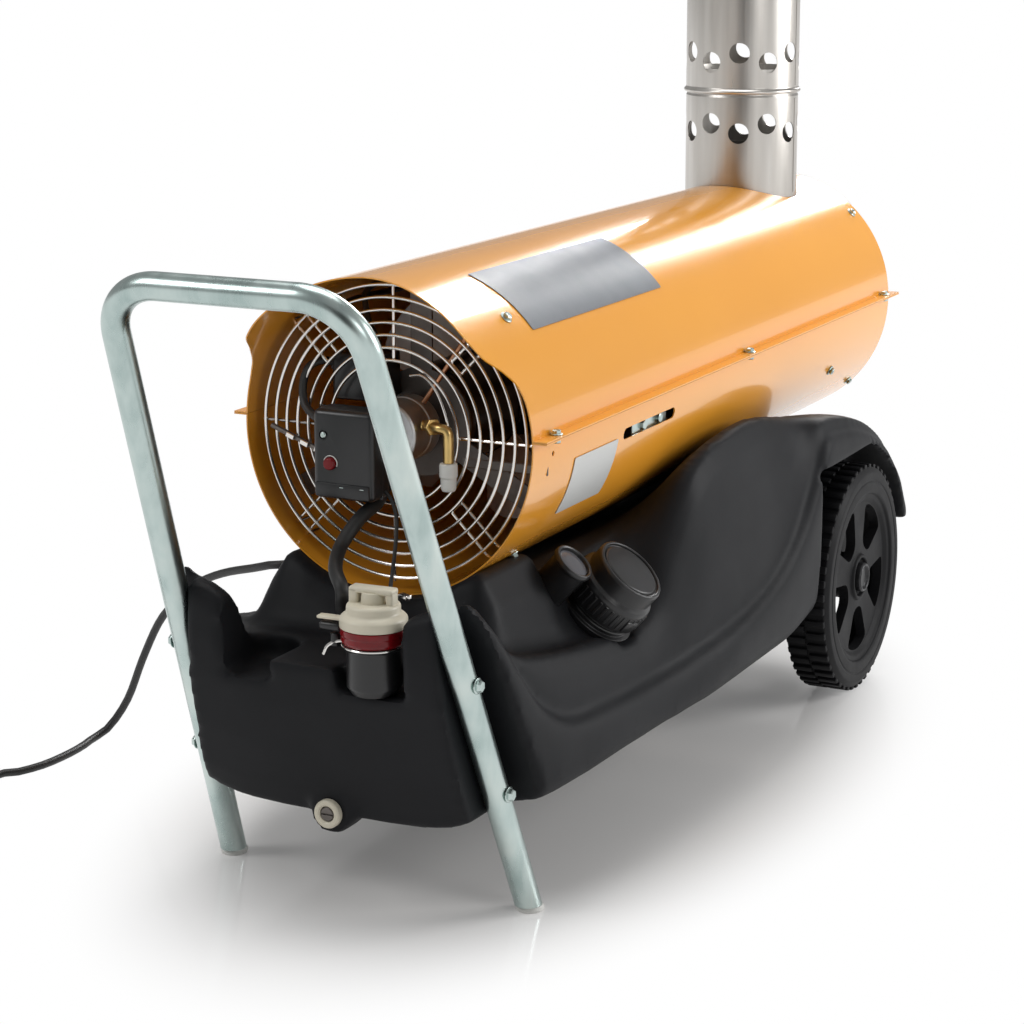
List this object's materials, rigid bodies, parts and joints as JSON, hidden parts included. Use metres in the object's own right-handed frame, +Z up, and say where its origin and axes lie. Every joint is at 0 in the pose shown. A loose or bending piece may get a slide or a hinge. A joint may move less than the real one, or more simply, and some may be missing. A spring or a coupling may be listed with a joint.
{
  "type": "indirect fired heater",
  "caption": "Portable oil-fired air heater: an orange steel barrel with a stainless flue, lying on a black wheeled fuel tank with a tubular handle.",
  "frame": {"origin": "middle of the machine's footprint on the floor: halfway along its length from the handle to the outlet, on the plane of symmetry, measured without the mains lead", "axes": "+X towards the side with the fuel filler, +Y from the handle and fan inlet to the hot air outlet, +Z up"},
  "size_m": [0.7532, 1.1336, 0.85],
  "materials": {
    "orange_enamel": "glossy orange enamel on rolled sheet steel",
    "moulded_black": "satin black moulded polyethylene",
    "black_plastic": "satin black plastic",
    "black_rubber": "matt black rubber",
    "zinc_plate": "bright zinc plate on steel",
    "bright_wire": "bright plated steel wire",
    "stainless": "brushed stainless sheet",
    "heat_resisting_steel": "dark heat-tinted steel",
    "cast_alloy": "plain cast alloy",
    "brass": "turned brass",
    "copper_line": "copper pipe",
    "cream_plastic": "cream nylon",
    "red_plastic": "glossy red plastic",
    "white_plastic": "white plastic",
    "dark_plate": "dark bare plate",
    "silver_plate": "silver bare plate"
  },
  "bodies": {
    "machine": {"fuel_tank": "moulded_black", "filler_neck": "black_plastic", "filler_strainer": "white_plastic", "fuel_gauge": "black_plastic", "drain_ring": "cream_plastic", "filter_body": "black_plastic", "filter_ring": "red_plastic", "lower_shell": "orange_enamel", "upper_shell": "orange_enamel", "inlet_grille": "bright_wire", "top_plate": "dark_plate", "rating_plate": "silver_plate", "outlet_ring": "orange_enamel", "combustion_chamber": "heat_resisting_steel", "heat_exchanger": "heat_resisting_steel", "chamber_support_front": "heat_resisting_steel", "chamber_support_rear": "heat_resisting_steel", "flue_pipe_lower": "stainless", "flue_pipe_upper": "stainless", "burner_tube": "heat_resisting_steel", "flame_disc": "heat_resisting_steel", "fuel_nozzle": "brass", "electrodes": "white_plastic", "motor": "black_plastic", "motor_bracket": "heat_resisting_steel", "fuel_pump": "cast_alloy", "pump_elbow": "brass", "pump_connector": "white_plastic", "nozzle_line": "copper_line", "transformer": "black_plastic", "ignition_cable_left": "black_rubber", "ignition_cable_right": "black_rubber", "control_box": "black_plastic", "suction_hose": "black_rubber", "thermostat": "zinc_plate", "rear_stand": "heat_resisting_steel", "handle": "zinc_plate", "foot_plug_left": "black_rubber", "foot_plug_right": "black_rubber", "handle_bolt_lower_left": "zinc_plate", "handle_bolt_lower_right": "zinc_plate", "handle_bolt_upper_left": "zinc_plate", "handle_bolt_upper_right": "zinc_plate", "axle": "zinc_plate", "axle_strap": "heat_resisting_steel", "axle_cap_left": "zinc_plate", "axle_cap_right": "zinc_plate", "cord_gland": "black_rubber", "power_cord": "black_rubber", "cord_coil": "black_rubber", "plug": "black_rubber"},
    "wheel_left": {"wheel_left": "black_plastic"},
    "wheel_right": {"wheel_right": "black_plastic"},
    "rotor": {"fan": "cast_alloy", "motor_shaft": "zinc_plate"},
    "filler_cap": {"filler_cap": "black_plastic"},
    "filter_cap": {"filter_cap": "cream_plastic"},
    "drain_plug": {"drain_plug": "brass"},
    "reset_button": {"reset_button": "red_plastic"}
  },
  "joints": [
    {"name": "wheel_left_spin", "type": "hinge", "parent": "machine", "child": "wheel_left", "pos_m": [-0.166, 0.3398, 0.1174], "axis": [1, 0, 0], "continuous": true},
    {"name": "wheel_right_spin", "type": "hinge", "parent": "machine", "child": "wheel_right", "pos_m": [0.166, 0.3398, 0.1174], "axis": [1, 0, 0], "continuous": true},
    {"name": "fan_spin", "type": "hinge", "parent": "machine", "child": "rotor", "pos_m": [0, -0.1352, 0.374], "axis": [0, 1, 0], "continuous": true},
    {"name": "filler_cap_turn", "type": "hinge", "parent": "machine", "child": "filler_cap", "pos_m": [0.1155, -0.1712, 0.202], "axis": [0.6691, 0, 0.7431], "range_deg": [0, 90]},
    {"name": "filter_cap_turn", "type": "hinge", "parent": "machine", "child": "filter_cap", "pos_m": [0.05, -0.4332, 0.25], "axis": [0, 0, 1], "range_deg": [0, 90]},
    {"name": "drain_plug_turn", "type": "hinge", "parent": "machine", "child": "drain_plug", "pos_m": [0, -0.4192, 0.0835], "axis": [0, 1, 0], "range_deg": [-90, 0]},
    {"name": "reset_button_press", "type": "slide", "parent": "machine", "child": "reset_button", "axis": [0, 1, 0], "range_m": [0, 0.003], "stiffness_N_per_m": 300, "springref_m": -0.001}
  ]
}
